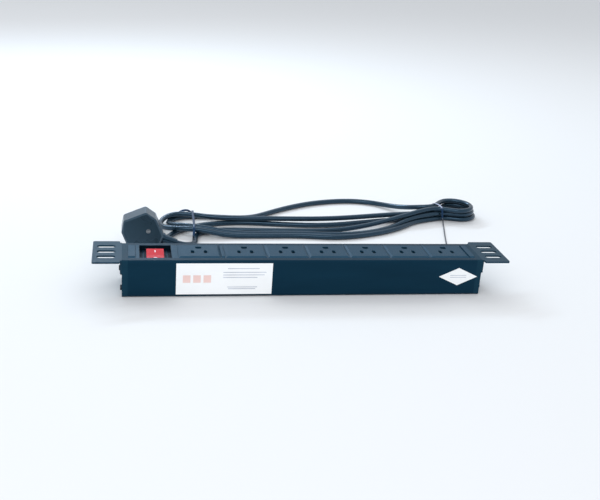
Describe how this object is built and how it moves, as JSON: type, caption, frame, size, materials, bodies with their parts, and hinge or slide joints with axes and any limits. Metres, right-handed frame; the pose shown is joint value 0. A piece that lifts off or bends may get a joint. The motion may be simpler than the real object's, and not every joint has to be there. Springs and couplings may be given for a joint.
{
  "type": "rack power strip",
  "caption": "Rack-mount power strip: an extruded channel with slotted ears, flat three-pin outlets, a recessed rocker switch and a mains lead folded behind it to a plug.",
  "frame": {"origin": "middle of the channel's underside", "axes": "+X along the strip towards the end away from the switch, +Y towards the lead, +Z out of the outlet face"},
  "size_m": [0.5443, 0.346, 0.0549],
  "materials": {
    "body_paint": "satin dark blue-black paint on an aluminium extrusion",
    "cap_plastic": "fine matt moulded plastic",
    "bracket_paint": "satin black powder coat on steel plate",
    "black_steel": "black oxide",
    "face_plastic": "fine matt moulded plastic, slate",
    "black_plastic": "matt black moulding",
    "red_plastic": "glossy translucent red moulding",
    "lamp_glass": "clear",
    "pale_plastic": "satin",
    "shutter_plastic": "satin dark grey",
    "brass": "bright pressed brass",
    "steel": "bright zinc plate",
    "brown_pvc": "smooth",
    "blue_pvc": "smooth",
    "green_pvc": "smooth, green and yellow on the real wire",
    "label_film": "semi-gloss white film",
    "cord_rubber": "smooth black sheath with a soft sheen",
    "plug_plastic": "satin dark grey moulding"
  },
  "bodies": {
    "strip": {"housing": "body_paint", "end_cap_left": "cap_plastic", "end_cap_right": "cap_plastic", "bracket_left": "bracket_paint", "bracket_right": "bracket_paint", "end_cap_screws": "black_steel", "bracket_screws": "black_steel", "blank_filler_left": "face_plastic", "blank_filler_right": "face_plastic", "spacer": "face_plastic", "switch_tray": "face_plastic", "switch_housing": "black_plastic", "switch_terminals": "brass", "line_busbar": "brass", "neutral_busbar": "brass", "earth_busbar": "brass", "line_wires": "brown_pvc", "neutral_wires": "blue_pvc", "earth_wire": "green_pvc", "earth_stud": "brass", "rating_label": "label_film", "diamond_sticker": "label_film", "cord_gland": "cord_rubber", "gland_nut": "steel", "exit_cord": "cord_rubber", "cord_hank": "cord_rubber", "plug_cord": "cord_rubber", "plug_boot": "cord_rubber", "plug_base": "plug_plastic", "plug_cover": "plug_plastic", "plug_pins": "brass", "plug_fuse": "pale_plastic", "plug_screw": "steel", "outlet_face_1": "face_plastic", "outlet_face_2": "face_plastic", "outlet_face_3": "face_plastic", "outlet_face_4": "face_plastic", "outlet_face_5": "face_plastic", "outlet_face_6": "face_plastic", "outlet_face_7": "face_plastic", "outlet_base_1": "black_plastic", "outlet_base_2": "black_plastic", "outlet_base_3": "black_plastic", "outlet_base_4": "black_plastic", "outlet_base_5": "black_plastic", "outlet_base_6": "black_plastic", "outlet_base_7": "black_plastic"},
    "rocker": {"rocker": "red_plastic", "indicator_lamp": "lamp_glass"},
    "contacts": {"contact_shaft": "pale_plastic", "contact_arms": "brass"},
    "shutter_1": {"shutter_1": "shutter_plastic"},
    "shutter_2": {"shutter_2": "shutter_plastic"},
    "shutter_3": {"shutter_3": "shutter_plastic"},
    "shutter_4": {"shutter_4": "shutter_plastic"},
    "shutter_5": {"shutter_5": "shutter_plastic"},
    "shutter_6": {"shutter_6": "shutter_plastic"},
    "shutter_7": {"shutter_7": "shutter_plastic"}
  },
  "joints": [
    {"name": "rocker_hinge", "type": "hinge", "parent": "strip", "child": "rocker", "pos_m": [-0.1719, 0, 0.0335], "axis": [-1, 0, 0], "range_deg": [0, 16]},
    {"name": "contact_hinge", "type": "hinge", "parent": "strip", "child": "contacts", "pos_m": [-0.1719, 0, 0.022], "axis": [-1, 0, 0], "range_deg": [-9.7, 0]},
    {"name": "shutter_slide_1", "type": "slide", "parent": "strip", "child": "shutter_1", "axis": [1, 0, 0], "range_m": [0, 0.0046], "stiffness_N_per_m": 60, "springref_m": -0.003},
    {"name": "shutter_slide_2", "type": "slide", "parent": "strip", "child": "shutter_2", "axis": [1, 0, 0], "range_m": [0, 0.0046], "stiffness_N_per_m": 60, "springref_m": -0.003},
    {"name": "shutter_slide_3", "type": "slide", "parent": "strip", "child": "shutter_3", "axis": [1, 0, 0], "range_m": [0, 0.0046], "stiffness_N_per_m": 60, "springref_m": -0.003},
    {"name": "shutter_slide_4", "type": "slide", "parent": "strip", "child": "shutter_4", "axis": [1, 0, 0], "range_m": [0, 0.0046], "stiffness_N_per_m": 60, "springref_m": -0.003},
    {"name": "shutter_slide_5", "type": "slide", "parent": "strip", "child": "shutter_5", "axis": [1, 0, 0], "range_m": [0, 0.0046], "stiffness_N_per_m": 60, "springref_m": -0.003},
    {"name": "shutter_slide_6", "type": "slide", "parent": "strip", "child": "shutter_6", "axis": [1, 0, 0], "range_m": [0, 0.0046], "stiffness_N_per_m": 60, "springref_m": -0.003},
    {"name": "shutter_slide_7", "type": "slide", "parent": "strip", "child": "shutter_7", "axis": [1, 0, 0], "range_m": [0, 0.0046], "stiffness_N_per_m": 60, "springref_m": -0.003}
  ],
  "couplings": [
    {"joint": "contact_hinge", "follows": "rocker_hinge", "ratio": -0.6}
  ]
}
